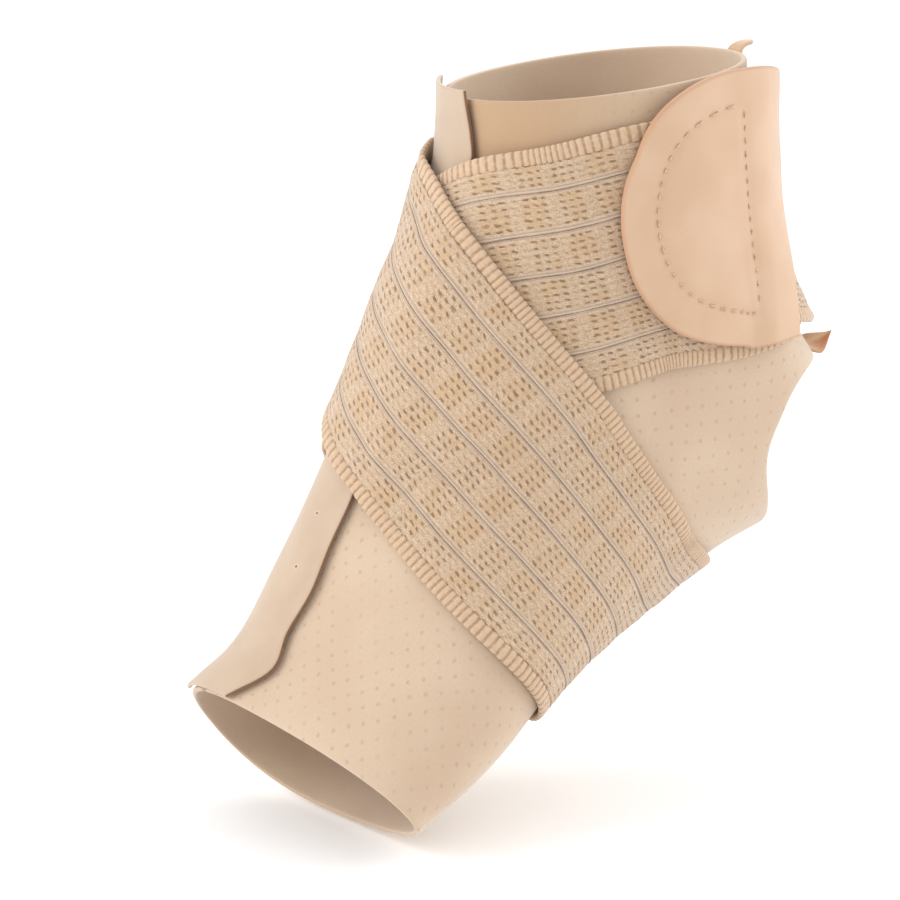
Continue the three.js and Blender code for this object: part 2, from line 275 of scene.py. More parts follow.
def slab(name, inner, outer, laid, kept=None, painted_shade=None):
    """Closed sheet of cloth between two grids of points, rows by columns."""
    rows, columns = inner.shape[0] - 1, inner.shape[1] - 1
    if kept is None:
        kept = np.ones((rows, columns), bool)
    points = np.concatenate([inner.reshape(-1, 3), outer.reshape(-1, 3)])
    below, above = laid.copy(), laid.copy()
    below[..., 2], above[..., 2] = 0, 1
    both = np.concatenate([below.reshape(-1, 3), above.reshape(-1, 3)])
    if painted_shade is not None:
        painted_shade = np.tile(painted_shade.ravel(), 2)
    return new_piece(name, points, grid_faces(rows, columns, kept), both, painted_shade)


def edged(count, total, soft):
    """Even steps over a length, with three close ones at each end where the edge is round."""
    near = np.array([0, 0.1, 0.4]) * soft
    return np.concatenate([near, np.linspace(soft, total - soft, count), total - near[::-1]])


def swell(distance, soft):
    """Share of full thickness at a distance from an edge: a quarter circle over the soft
    width, never under a third."""
    f = np.clip(distance / soft, 0, 1)
    return 0.34 + 0.66 * np.sqrt(1 - (1 - f) ** 2)


def ring_faces(count, sides):
    """Quads that join up a row of rings, all with the same number of points."""
    i = np.arange(count - 1)[:, None] * sides
    k = np.arange(sides)[None]
    k1 = (k + 1) % sides
    return np.stack([i + k, i + k1, i + sides + k1, i + sides + k], -1).reshape(-1, 4)


def tube(centre, normal, radius):
    """Points and faces of a round thread along a line: rings square to the line, joined up,
    with both ends left open."""
    n = len(centre)
    along = unit(np.gradient(centre, axis=0))
    out = unit(normal - dot(normal, along)[:, None] * along)
    across = np.cross(along, out)
    w = 2 * np.pi * np.arange(THREAD_SIDES) / THREAD_SIDES
    ring = out[:, None] * np.cos(w)[None, :, None] + across[:, None] * np.sin(w)[None, :, None]
    points = (centre[:, None] + ring * np.broadcast_to(radius, n)[:, None, None]).reshape(-1, 3)
    return points, ring_faces(n, THREAD_SIDES)


# The sleeve


def flap_edge(t):
    return np.radians(spline(FLAP_EDGE, t * (len(FLAP_EDGE) - 1)))


def flap_angle(t, across):
    edge = flap_edge(t)
    return edge - across / roundness_at(t, edge)


HEEL_ROUNDNESS = roundness_at(np.array(OPENING_MIDDLE), np.array(np.pi))
OPENING_HALF = OPENING_LENGTH / 2 / tallness_at(np.array(OPENING_MIDDLE), np.array(np.pi))
OPENING_TOP = OPENING_MIDDLE + OPENING_HALF


def opening_spread(t):
    off = np.minimum(1, np.abs((t - OPENING_MIDDLE) / OPENING_HALF))
    arc = (1 - off**OPENING_ROUND) ** (1 / OPENING_ROUND)
    return np.maximum(OPENING_WIDTH * arc, OPENING_END) / 2 / HEEL_ROUNDNESS


def dimple_lattice(t, a, run, half):
    """Place in the grid of dimples, one unit for each dimple: every section is rolled out
    flat from the middle of its side, into the form's upright middle plane, which has one
    pitch ahead of the strap and another behind it."""
    fx, fz, bx, bz = np.moveaxis(spline(FORM, t * (len(FORM) - 1))[..., :4], -1, 0)
    length = np.hypot(fx - bx, fz - bz)
    outer_side = [np.interp(np.pi / 2, *pair) for pair in zip(a, run)]
    inner_side = [np.interp(3 * np.pi / 2, *pair) for pair in zip(a, run)]
    first = np.arange(t.shape[1]) < half
    off = np.where(first, np.array(outer_side)[:, None] - run, run - np.array(inner_side)[:, None])
    x = (fx + bx) / 2 + off * (fx - bx) / length
    z = (fz + bz) / 2 + off * (fz - bz) / length
    c, s = np.cos(0.16), np.sin(0.16)
    ahead = t < 0.36
    u = np.where(ahead, (c * x - s * z) / 3.5, x / 4.7)
    v = np.where(ahead, (s * x + c * z) / 4.1, z / 4.2)
    return np.stack([u, v, np.zeros_like(u)], -1)


def make_sleeve():
    """Sleeve as a slab on the form: columns run from the front slit to the back, where the
    middle one is left out round the heel, and the wall swells in from each cut edge."""
    soft = 0.9
    foot = OPENING_MIDDLE - OPENING_HALF
    low = np.linspace(0, foot, 80)[1:-1]
    middle = OPENING_MIDDLE - OPENING_HALF * np.cos(np.pi * np.linspace(0, 1, 49))
    top = np.linspace(OPENING_TOP, 1, 36)[1:-1]
    rim = np.array([0, 0.1, 0.4, 1]) * soft
    low, rim = low[low > soft / WAY_LENGTH], rim / WAY_LENGTH
    t = np.unique(np.round(np.concatenate([rim, low, middle, top, 1 - rim[::-1]]), 7))
    half = 76
    slit = flap_angle(t, FLAP_WIDTH / 2)
    margin = SLIT_WIDTH / 2 / roundness_at(t, slit)
    spread = opening_spread(t)
    first, second = slit + margin, np.pi - spread
    third, last = np.pi + spread, slit + 2 * np.pi - margin
    share = np.concatenate([[0, 0.001, 0.004], np.linspace(0.01, 0.99, half), [0.996, 0.999, 1]])
    left = first[:, None] + (second - first)[:, None] * share
    right = third[:, None] + (last - third)[:, None] * share
    a = np.concatenate([left, right], 1)
    tt = np.broadcast_to(t[:, None], a.shape)
    inside = (t[:-1] >= foot - 1e-6) & (t[1:] <= OPENING_TOP + 1e-6)
    kept = np.ones((len(t) - 1, a.shape[1] - 1), bool)
    kept[inside, len(share) - 1] = False
    along = tt * WAY_LENGTH
    round_mm = roundness_at(tt, a)
    from_slit = np.minimum(np.abs(a - first[:, None]), np.abs(a - last[:, None])) * round_mm
    off_t = np.abs(tt - OPENING_MIDDLE) / OPENING_HALF
    off_a = np.abs(a - np.pi) / (OPENING_WIDTH / 2 / HEEL_ROUNDNESS)
    level = (off_t**OPENING_ROUND + off_a**OPENING_ROUND) ** (1 / OPENING_ROUND)
    from_heel = np.maximum(level - 1, 0) * 32
    from_rim = np.minimum(along, WAY_LENGTH - along)
    away = np.minimum(np.minimum(from_slit, from_heel), from_rim)
    thick = SLEEVE_WALL * swell(away, soft)
    where = skin(tt, a)
    drape = 0.22 * waves(3, *np.moveaxis(where, -1, 0), longest=70, shortest=16)
    middle_height = SLEEVE_WALL / 2 + drape * smooth(away, 0, 14)
    inner = raised(tt, a, middle_height - thick / 2)
    outer = raised(tt, a, middle_height + thick / 2)
    step = np.linalg.norm(np.diff(where, axis=1, prepend=where[:, :1]), axis=-1)
    laid = dimple_lattice(tt, a, np.cumsum(step, axis=1), len(share))
    from_flap = (a - first[:, None]) * round_mm
    # Painted shade: the collar beside the flap is darkened, as if in the shadow of the strap and
    # tab.
    collar_shade = smooth(tt, 0.78, 0.86) * (1 - 0.75 * smooth(from_flap, 20, 75)) * (a < np.pi)
    return slab("sleeve_cloth", inner, outer, laid, kept, painted_shade=collar_shade)


def make_flap():
    """Flap as a slab down the instep: columns run from its hidden edge to its free one, which
    curls up a little."""
    soft = 0.7
    top = 1 + FLAP_RISE / tallness_at(np.array(1.0), np.array(0.0))
    t = edged(150, 1.0, 0.004) * top
    across = edged(26, FLAP_WIDTH, soft)[::-1]
    tt = np.broadcast_to(t[:, None], (len(t), len(across)))
    a = flap_angle(t[:, None], across[None, :])
    away = np.minimum(across, FLAP_WIDTH - across)[None, :]
    away = np.minimum(away, np.minimum(tt, top - tt) * WAY_LENGTH)
    thick = FLAP_WALL * swell(away, soft)
    where = skin(tt, a)
    lift = 0.25 * waves(8, *np.moveaxis(where, -1, 0), longest=60, shortest=14)
    curl = 0.3 * (1 - smooth(np.broadcast_to(across, tt.shape), 0, 3))
    height = SLEEVE_WALL + LAYER_GAP + FLAP_WALL / 2 + 0.1 + curl + lift * smooth(away, 0, 6)
    laid = np.stack([tt * WAY_LENGTH, np.broadcast_to(across, tt.shape), np.zeros_like(tt)], -1)
    inner, outer = raised(tt, a, height - thick / 2), raised(tt, a, height + thick / 2)
    # Painted shadow: a narrow band along the free edge takes the dark third tone.
    cut = 1 - smooth(np.broadcast_to(across, tt.shape), 0.02, 0.35)
    return slab("instep_flap", inner, outer, laid, painted_shade=cut)


def make_seam():
    """Seam strip down the back: a profile of height above the form, flat in the
    middle and turned outward at both ends, carried across its width."""
    a = np.radians(SEAM_ANGLE)
    here = np.array(a)
    foot = OPENING_TOP - SEAM_DROP / tallness_at(OPENING_TOP, here)
    top = 1 + SEAM_RISE / tallness_at(np.array(1.0), here)
    bend = SEAM_BEND / tallness_at(np.array(1.0), here)
    flat = SLEEVE_WALL + LAYER_GAP
    f = np.linspace(0, 1, 17)
    low = np.stack([foot + bend * f**2, flat + HEEL_LIP * (1 - f) ** 2], 1)
    middle = np.stack([np.linspace(foot + bend, top - bend, 60), np.full(60, flat)], 1)[1:-1]
    high = np.stack([top - bend * (1 - f) ** 2, flat + TOP_LIP * f**2], 1)
    profile = np.concatenate([low, middle, high])
    t, height = profile.T
    centre = raised(t, np.full_like(t, a), height)
    along = unit(np.gradient(centre, axis=0))
    across = unit(rates(t, np.full_like(t, a))[1])
    out = unit(np.cross(across, along))
    run = np.r_[0, np.cumsum(np.linalg.norm(np.diff(centre, axis=0), axis=1))]
    from_end = np.minimum(run, run[-1] - run)
    half = SEAM_WIDTH / 2 * (SEAM_TAPER + (1 - SEAM_TAPER) * smooth(from_end, 0, 9))
    half = half * np.sqrt(np.clip(1 - (1 - np.clip(from_end / 1.6, 0, 1)) ** 2, 0.12, 1))
    share = np.linspace(-1, 1, 13)
    low_end = 1 - smooth(run, 2, 13)
    half = half * (1 + 0.6 * low_end) * np.clip(run / 8, 0.07, 1) ** 0.8
    roll = 0.9 * low_end[:, None]
    across, out = (
        across * np.cos(roll) + out * np.sin(roll),
        out * np.cos(roll) - across * np.sin(roll),
    )
    rounded = SEAM_WALL * swell((1 - np.abs(share))[None, :] * half[:, None], 0.6)
    ridge = 0.25 * np.exp(-((share * 4) ** 2))[None, :]
    middle_point = centre[:, None] + across[:, None] * (half[:, None] * share)[..., None]
    rest = middle_point + out[:, None] * (SEAM_WALL / 2)
    inner = rest - out[:, None] * (rounded / 2)[..., None]
    outer = rest + out[:, None] * (rounded / 2 + ridge)[..., None]
    laid = np.stack(
        [np.broadcast_to(run[:, None], rounded.shape), half[:, None] * share, 0 * rounded], -1
    )
    # Painted shade: the half of the flared lower end that turns under takes the seam's dark third
    # tone.
    under = 0.95 * low_end[:, None] * (1 - smooth(share, -0.2, 0.2))[None, :]
    return slab("back_seam_strip", inner, outer, laid, painted_shade=under)


# The strap

turned = np.linspace(0, ROUTE_TURN, 1701)
route_t = spline(ROUTE, turned / ROUTE_STEP)
route_a = np.radians(ROUTE_START - turned)
route_point = skin(route_t, route_a)
route_run = np.r_[0, np.cumsum(np.linalg.norm(np.diff(route_point, axis=0), axis=1))]
ROUTE_LENGTH = route_run[-1]
TAB_START = ROUTE_LENGTH - TAB_LENGTH
STRAP_LENGTH = TAB_START + TAB_OVERLAP


def on_route(run):
    run = np.clip(run, 0, ROUTE_LENGTH)
    return np.interp(run, route_run, route_t), np.interp(run, route_run, route_a)


def strap_places(run, across, pace=2.0):
    """Places at distances along the strap and across it, positive toward the toe edge: from
    the middle line, strides square to it over the form."""
    run, across = np.broadcast_arrays(np.asarray(run, float), np.asarray(across, float))
    t, a = on_route(run)
    ahead, behind = on_route(run + 1), on_route(run - 1)
    forward = skin(*ahead) - skin(*behind)
    way = np.cross(rates(t, a)[2], forward) * np.where(across < 0, -1, 1)[..., None]
    steps = int(np.ceil(np.abs(across).max() / pace))
    for _ in range(steps):
        t, a, way = stride(t, a, way, np.abs(across) / steps)
    return t, a


def cover_at(t, a):
    """Height that the flap and the back seam add under the strap."""
    edge = flap_edge(t)
    past_flap = turn_from(edge, a) * roundness_at(t, edge)
    flap = over(np.maximum(past_flap, -FLAP_WIDTH - past_flap))
    from_seam = np.abs(turn_from(np.radians(SEAM_ANGLE), a)) * roundness_at(t, a)
    past_seam = from_seam - SEAM_WIDTH / 2
    seam = over(np.maximum(past_seam, (OPENING_TOP - t) * tallness_at(t, a)))
    return flap * (FLAP_WALL + LAYER_GAP) + seam * (SEAM_WALL + LAYER_GAP)


def lap_at(t, a, run):
    """1 where the strap lies over one of its own earlier turns, from the least distance to
    the middle line of what was wound before."""
    point = skin(t, a)
    nearest = np.full(t.shape, 1e9)
    line, line_run = route_point[::3], route_run[::3]
    for k in range(0, t.shape[0], 40):
        block = point[k : k + 40]
        square = dot(block, block)[..., None] + dot(line, line) - 2 * block @ line.T
        early = line_run < run[k : k + 40, ..., None] - 2 * STRAP_WIDTH
        square = np.where(early, square, 1e9)
        nearest[k : k + 40] = np.sqrt(np.maximum(square.min(-1), 0))
    return over(nearest - STRAP_WIDTH / 2)


def strap_height(t, a, run):
    laps = lap_at(t, a, run) * (STRAP_WALL + LAYER_GAP)
    return SLEEVE_WALL + LAYER_GAP + cover_at(t, a) + laps


def make_strap():
    """Strap as a slab along its route. Its outer face swells between the rubber threads and
    has a narrow groove at each of them."""
    inside = STRAP_WIDTH / 2 - EDGE_RIB + 0.6
    run = np.linspace(0, STRAP_LENGTH, 640)[:, None]
    across = np.linspace(-inside, inside, 68)[None, :]
    run, across = np.broadcast_arrays(run, across)
    t, a = strap_places(run, across)
    height = strap_height(t, a, run)
    thread = (across / THREAD_PITCH - np.round(across / THREAD_PITCH)) * THREAD_PITCH
    pillow = 0.28 * (1 - np.exp(-((thread / 1.7) ** 2))) - 0.2
    loose = 0.12 * waves(5, run, across, count=7, longest=30, shortest=7)
    laid = np.stack([run, across, np.zeros_like(run)], -1)
    outer = raised(t, a, height + STRAP_WALL - 0.1 + pillow + loose)
    return slab("strap_knit", raised(t, a, height + 0.15), outer, laid)


def make_strap_edge(name, side):
    """One ribbed edge of the strap: a flat band with round sides, whose outer face and outline
    rise and fall once in each rib."""
    per_rib = 6
    ribs = int(STRAP_LENGTH / RIB_PITCH)
    run = np.linspace(0, STRAP_LENGTH, ribs * per_rib + 1)
    middle = side * (STRAP_WIDTH / 2 - EDGE_RIB / 2 + 0.15)
    t, a = strap_places(run, np.full_like(run, middle))
    height = strap_height(t, a, run)
    wave = 0.5 + 0.5 * np.cos(2 * np.pi * np.arange(len(run)) / per_rib)
    uneven = 0.12 * waves(11 + side, run, count=6, longest=40, shortest=3)
    out = rates(t, a)[2]
    centre = skin(t, a) + out * (height + STRAP_WALL / 2 + 0.1)[:, None]
    forward = unit(np.gradient(centre, axis=0))
    across = np.cross(out, forward) * side
    w = np.linspace(0, 2 * np.pi, 15)[:-1]
    c, s = np.cos(w), np.sin(w)
    flat = np.sign(c) * np.abs(c) ** 0.55
    tall = np.sign(s) * np.abs(s) ** 0.75
    outline = EDGE_RIB / 2 * (0.94 + 0.06 * wave[:, None] * (c > 0) + 0.2 * uneven[:, None])
    relief = STRAP_WALL / 2 * (0.84 + 0.2 * wave + uneven)[:, None]
    points = (
        centre[:, None]
        + across[:, None] * (outline * flat)[..., None]
        + out[:, None] * (relief * tall)[..., None]
    )
    n, sides = len(run), len(w)
    faces = ring_faces(n, sides)
    if side > 0:
        faces = faces[:, ::-1]
    laid = np.stack(
        [
            np.broadcast_to(run[:, None], (n, sides)),
            np.broadcast_to(middle + side * flat * EDGE_RIB / 2, (n, sides)),
            np.broadcast_to(wave[:, None], (n, sides)),
        ],
        -1,
    ).reshape(-1, 3)
    piece = new_piece(name, points.reshape(-1, 3), faces, laid)
    fill_ends(piece)
    return piece


def fill_ends(piece):
    """Closes the open rings of a mesh with one face each and points every face outward."""
    work = bmesh.new()
    work.from_mesh(piece.data)
    bmesh.ops.holes_fill(work, edges=[e for e in work.edges if e.is_boundary], sides=0)
    bmesh.ops.recalc_face_normals(work, faces=work.faces)
    work.to_mesh(piece.data)
    work.free()


def make_threads():
    """Rubber threads along the strap, in pairs: each a thin round thread half sunk in the
    groove between two panels of knit."""
    run = np.linspace(1.5, STRAP_LENGTH - 1.5, 430)
    points, faces, laid, count = [], [], [], 0
    for k in range(THREAD_COUNT):
        middle = (k - (THREAD_COUNT - 1) / 2) * THREAD_PITCH
        for side in (-1, 1):
            shift = middle + side * 0.22 + 0.1 * waves(20 + k, run, count=4, longest=50)
            t, a = strap_places(run, shift)
            height = strap_height(t, a, run) + STRAP_WALL - 0.28
            line, out = raised(t, a, height), rates(t, a)[2]
            ring, quads = tube(line, out, 0.17 if side < 0 else 0.13)
            points.append(ring)
            faces.append(quads + count)
            place = np.stack([run, shift, 0 * run + side], 1)
            laid.append(np.repeat(place, THREAD_SIDES, axis=0))
            count += len(ring)
    piece = new_piece(
        "rubber_threads", np.concatenate(points), np.concatenate(faces), np.concatenate(laid)
    )
    fill_ends(piece)
    return piece


# The tab


def tab_place(reach, across):
    """Place on the tab at a distance from its sewn edge and across it."""
    run = TAB_START + reach
    t, a = strap_places(run, across)
    on_strap = over(run - STRAP_LENGTH) * (STRAP_WALL + LAYER_GAP)
    return t, a, strap_height(t, a, run) + on_strap


def tab_outline(swing, inset=0.0):
    """Reach and across of the tab's outline at a swing from -90 to 90 degrees: straight sides,
    then half an ellipse, drawn in by an inset."""
    reach = TAB_STRAIGHT + (TAB_LENGTH - TAB_STRAIGHT - inset) * np.cos(swing)
    return reach, (TAB_WIDTH / 2 - inset) * np.sin(swing)


def make_tab():
    """Tab as a slab whose columns swing round the half ellipse and whose rows run from the
    sewn edge to the outline. The face inside the stitching is a little proud, with a shallow
    channel under the stitches and a round rim outside."""
    soft = 1.1
    share = np.concatenate([[0, 0.002, 0.008], np.linspace(0.02, 0.955, 44)])
    share = np.concatenate([share, [0.965, 0.975, 0.984, 0.99, 0.995, 0.9985, 1]])
    swing = np.pi * (0.5 - edged(96, 1.0, 0.01))
    reach, across = tab_outline(swing)
    run = TAB_SEWN + share[:, None] * (reach - TAB_SEWN)[None, :]
    side = np.broadcast_to(across, run.shape)
    t, a, height = tab_place(run, side)
    drawn = np.maximum(run - TAB_STRAIGHT, 0)
    long, wide = TAB_LENGTH - TAB_STRAIGHT, TAB_WIDTH / 2
    from_round = (1 - np.hypot(drawn / long, side / wide)) * wide
    away = np.minimum(from_round, run - TAB_SEWN)
    thick = TAB_SHOWN * swell(away, soft)
    inset = np.minimum(from_round - STITCH_INSET, run - CROSS_LINE)
    channel = -0.3 * np.exp(-((inset / 0.7) ** 2))
    proud = 0.2 * smooth(inset, 0.2, 2.6)
    lift = 0.15 * waves(31, run, side, longest=45, shortest=14) * smooth(away, 0, 5)
    middle = height + TAB_SHOWN / 2 + 0.1
    inner = raised(t, a, middle - thick / 2)
    outer = raised(t, a, middle + thick / 2 + channel + proud + lift)
    laid = np.stack([run, side, np.zeros_like(run)], -1)
    # Painted shade: the cover darkens in colour toward its outline, over its round rim.
    rim = 1 - smooth(away, 0.1, 0.9)
    return slab("hook_tab_cover", inner, outer, laid, painted_shade=rim)


def stitches(name, reach, across, radius):
    """Row of stitches on the tab: short threads at an even pitch along a line, each bowed out
    of the cover in the middle and sunk at both ends."""
    where = np.stack([reach, across], 1)
    run = np.r_[0, np.cumsum(np.linalg.norm(np.diff(where, axis=0), axis=1))]
    starts = np.arange(STITCH_PITCH / 2, run[-1] - STITCH_LENGTH, STITCH_PITCH)
    f = np.linspace(0, 1, 7)
    points, faces, count = [], [], 0
    for start in starts:
        s = start + STITCH_LENGTH * f
        r, c = np.interp(s, run, reach), np.interp(s, run, across)
        t, a, base = tab_place(r, c)
        bow = radius * (2.2 * np.sin(np.pi * f) - 0.9)
        line = raised(t, a, base + TAB_SHOWN - 0.15 + bow)
        ring, quads = tube(line, rates(t, a)[2], radius * (0.7 + 0.3 * np.sin(np.pi * f)))
        points.append(ring)
        faces.append(quads + count)
        count += len(ring)
    piece = new_piece(name, np.concatenate(points), np.concatenate(faces))
    fill_ends(piece)
    return piece


# Materials


class Nodes:
    """Short hand for building a material: each call adds a node and returns its output."""

    def __init__(self, name):
        self.material = bpy.data.materials.new(name)
        self.material.use_nodes = True
        self.tree = self.material.node_tree
        self.shader = self.tree.nodes["Principled BSDF"]

    def add(self, kind, output=0, **settings):
        node = self.tree.nodes.new(kind)
        inputs = settings.pop("inputs", {})
        for key, value in settings.items():
            setattr(node, key, value)
        for key, value in inputs.items():
            if isinstance(value, bpy.types.NodeSocket):
                self.tree.links.new(value, node.inputs[key])
            else:
                node.inputs[key].default_value = value
        return node.outputs[output]

    def math(self, operation, *values, clamp=False):
        return self.add(
            "ShaderNodeMath",
            operation=operation,
            use_clamp=clamp,
            inputs=dict(enumerate(values)),
        )

    # Share of painted shade that the mesh carries, from 0 to 1.
    def painted_shade(self):
        return self.add("ShaderNodeAttribute", output="Fac", attribute_name="painted_shade")

    def laid(self):
        vector = self.add("ShaderNodeAttribute", output="Vector", attribute_name="laid")
        return self.split(vector)

    def split(self, vector):
        node = self.tree.nodes.new("ShaderNodeSeparateXYZ")
        self.tree.links.new(vector, node.inputs[0])
        return list(node.outputs)

    def join(self, x, y, z=0.0):
        return self.add("ShaderNodeCombineXYZ", inputs={0: x, 1: y, 2: z})

    def noise(self, vector, scale, detail=2.0, roughness=0.5):
        return self.add(
            "ShaderNodeTexNoise",
            output="Fac",
            inputs={"Vector": vector, "Scale": scale, "Detail": detail, "Roughness": roughness},
        )

    def object_mm(self):
        coordinates = self.add("ShaderNodeTexCoord", output="Object")
        return self.add(
            "ShaderNodeVectorMath",
            operation="SCALE",
            inputs={"Vector": coordinates, "Scale": 1000.0},
        )

    def step(self, value, low, high):
        return self.add(
            "ShaderNodeMapRange",
            interpolation_type="SMOOTHSTEP",
            inputs={"Value": value, "From Min": low, "From Max": high},
        )

    def within(self, value, low, high):
        """1 up to low, then smoothly down to 0 at high."""
        return self.math("SUBTRACT", 1.0, self.step(value, low, high))

    def partly(self, mask, share):
        """The mask times a share, plus what the share leaves of 1."""
        return self.math("ADD", self.math("MULTIPLY", mask, share), 1 - share)

    def centred(self, noise, size):
        """Noise less a half, times a size."""
        return self.math("MULTIPLY", self.math("SUBTRACT", noise, 0.5), size)

    def product(self, first, *others):
        for other in others:
            first = self.math("MULTIPLY", first, other)
        return first

    def distance(self, x, y):
        """Root of the sum of two squares."""
        return self.math("SQRT", self.math("ADD", self.product(x, x), self.product(y, y)))

    def streaks(self, along, across, long, wide, detail=2.0, roughness=0.5):
        """Noise whose scale differs along and across the cloth."""
        place = self.join(self.product(along, long), self.product(across, wide))
        return self.noise(place, 1.0, detail, roughness)

    def stain(self, base, mask, share, color):
        """Base with a colour over it where the mask is, at a share of its strength."""
        return self.mix(self.product(mask, share), base, color)

    def mix(self, share, first, second):
        node = self.tree.nodes.new("ShaderNodeMix")
        node.data_type = "RGBA"
        for socket, value in ((0, share), (6, first), (7, second)):
            if isinstance(value, bpy.types.NodeSocket):
                self.tree.links.new(value, node.inputs[socket])
            else:
                node.inputs[socket].default_value = value
        return node.outputs[2]

    def finish(self, color, roughness, height, depth_mm, sheen=0.0):
        shader = self.shader
        self.tree.links.new(color, shader.inputs["Base Color"])
        if isinstance(roughness, bpy.types.NodeSocket):
            self.tree.links.new(roughness, shader.inputs["Roughness"])
        else:
            shader.inputs["Roughness"].default_value = roughness
        shader.inputs["Specular IOR Level"].default_value = 0.25
        shader.inputs["Sheen Weight"].default_value = sheen
        shader.inputs["Sheen Roughness"].default_value = 0.5
        bump = self.add(
            "ShaderNodeBump",
            inputs={"Strength": 1.0, "Distance": depth_mm * MM, "Height": height},
        )
        self.tree.links.new(bump, shader.inputs["Normal"])
        return self.material


def tone(red, green, blue):
    """Colour from three shares of 255 as a screen shows them."""
    c = np.array([red, green, blue]) / 255
    linear = np.where(c <= 0.04045, c / 12.92, ((c + 0.055) / 1.055) ** 2.4)
    return (*linear.tolist(), 1.0)


def sleeve_material():
    """Beige foam-backed cloth: soft round dimples, one in each unit of the grid laid on the
    cloth, over a fine grain and a slow change of tone, with painted shade on the collar beside the
    flap and on the cut edges."""
    n = Nodes("dimpled_cloth")
    u, v, outside = n.laid()
    place = n.object_mm()
    sway = n.math("MULTIPLY", n.noise(place, 0.06), 0.5)

    def from_middle(value):
        return n.math("SUBTRACT", n.math("FRACT", n.math("ADD", value, sway)), 0.5)

    dimple = n.within(n.distance(from_middle(u), from_middle(v)), 0.05, 0.18)
    fade = n.partly(n.step(n.noise(place, 0.07, 2), 0.3, 0.62), 0.65)
    # Painted shade on the collar, outside face only; the dimples fade under it.
    collar_shade = n.product(n.painted_shade(), outside)
    shallow = n.math("SUBTRACT", 1.0, n.product(collar_shade, 0.8))
    dimple = n.product(dimple, fade, outside, shallow)
    grain = n.noise(place, 1.6, 3)
    slow = n.noise(place, 0.03, 2)
    base = n.mix(n.step(slow, 0.3, 0.7), tone(195, 170, 146), tone(202, 180, 156))
    base = n.stain(base, n.step(grain, 0.35, 0.75), 0.2, tone(183, 157, 129))
    base = n.stain(base, dimple, 0.32, tone(159, 130, 100))
    # Painted shade on the collar.
    base = n.stain(base, collar_shade, 0.8, tone(174, 140, 106))
    # Painted shade: the cut edges, the walls between the cloth's two faces, are coloured brown.
    wall = n.math("MULTIPLY", outside, n.math("SUBTRACT", 1.0, outside))
    base = n.mix(n.math("MULTIPLY", wall, 2.8, clamp=True), base, tone(178, 138, 106))
    height = n.math("SUBTRACT", n.math("MULTIPLY", grain, 0.3), n.math("MULTIPLY", dimple, 0.5))
    return n.finish(base, 0.88, height, 0.2, sheen=0.4)


def plain_material(name, light, dark, cut, marks=()):
    """Smooth cloth: a fine weave and a slow change of tone between two colours, a third laid on
    as painted shade where the mesh carries a share of it, and small needle marks, each a dark
    dot in a pale ring."""
    n = Nodes(name)
    along, across, _ = n.laid()
    weave = n.streaks(along, across, 3.0, 2.2)
    base = n.mix(n.step(n.noise(n.object_mm(), 0.08, 3), 0.3, 0.7), light, dark)
    base = n.stain(base, n.step(weave, 0.4, 0.7), 0.2, dark)
    # Painted shade: the third tone, along the flap's free edge and under the seam's lower end.
    base = n.mix(n.painted_shade(), base, cut)
    for mark_along, mark_across in marks:
        ahead = n.math("SUBTRACT", along, mark_along)
        beside = n.math("SUBTRACT", across, mark_across)
        away = n.distance(ahead, beside)
        base = n.stain(base, n.within(away, 0.7, 1.1), 0.3, tone(232, 212, 190))
        base = n.mix(n.within(away, 0.35, 0.65), base, tone(128, 92, 66))
    return n.finish(base, 0.85, weave, 0.08, sheen=0.45)


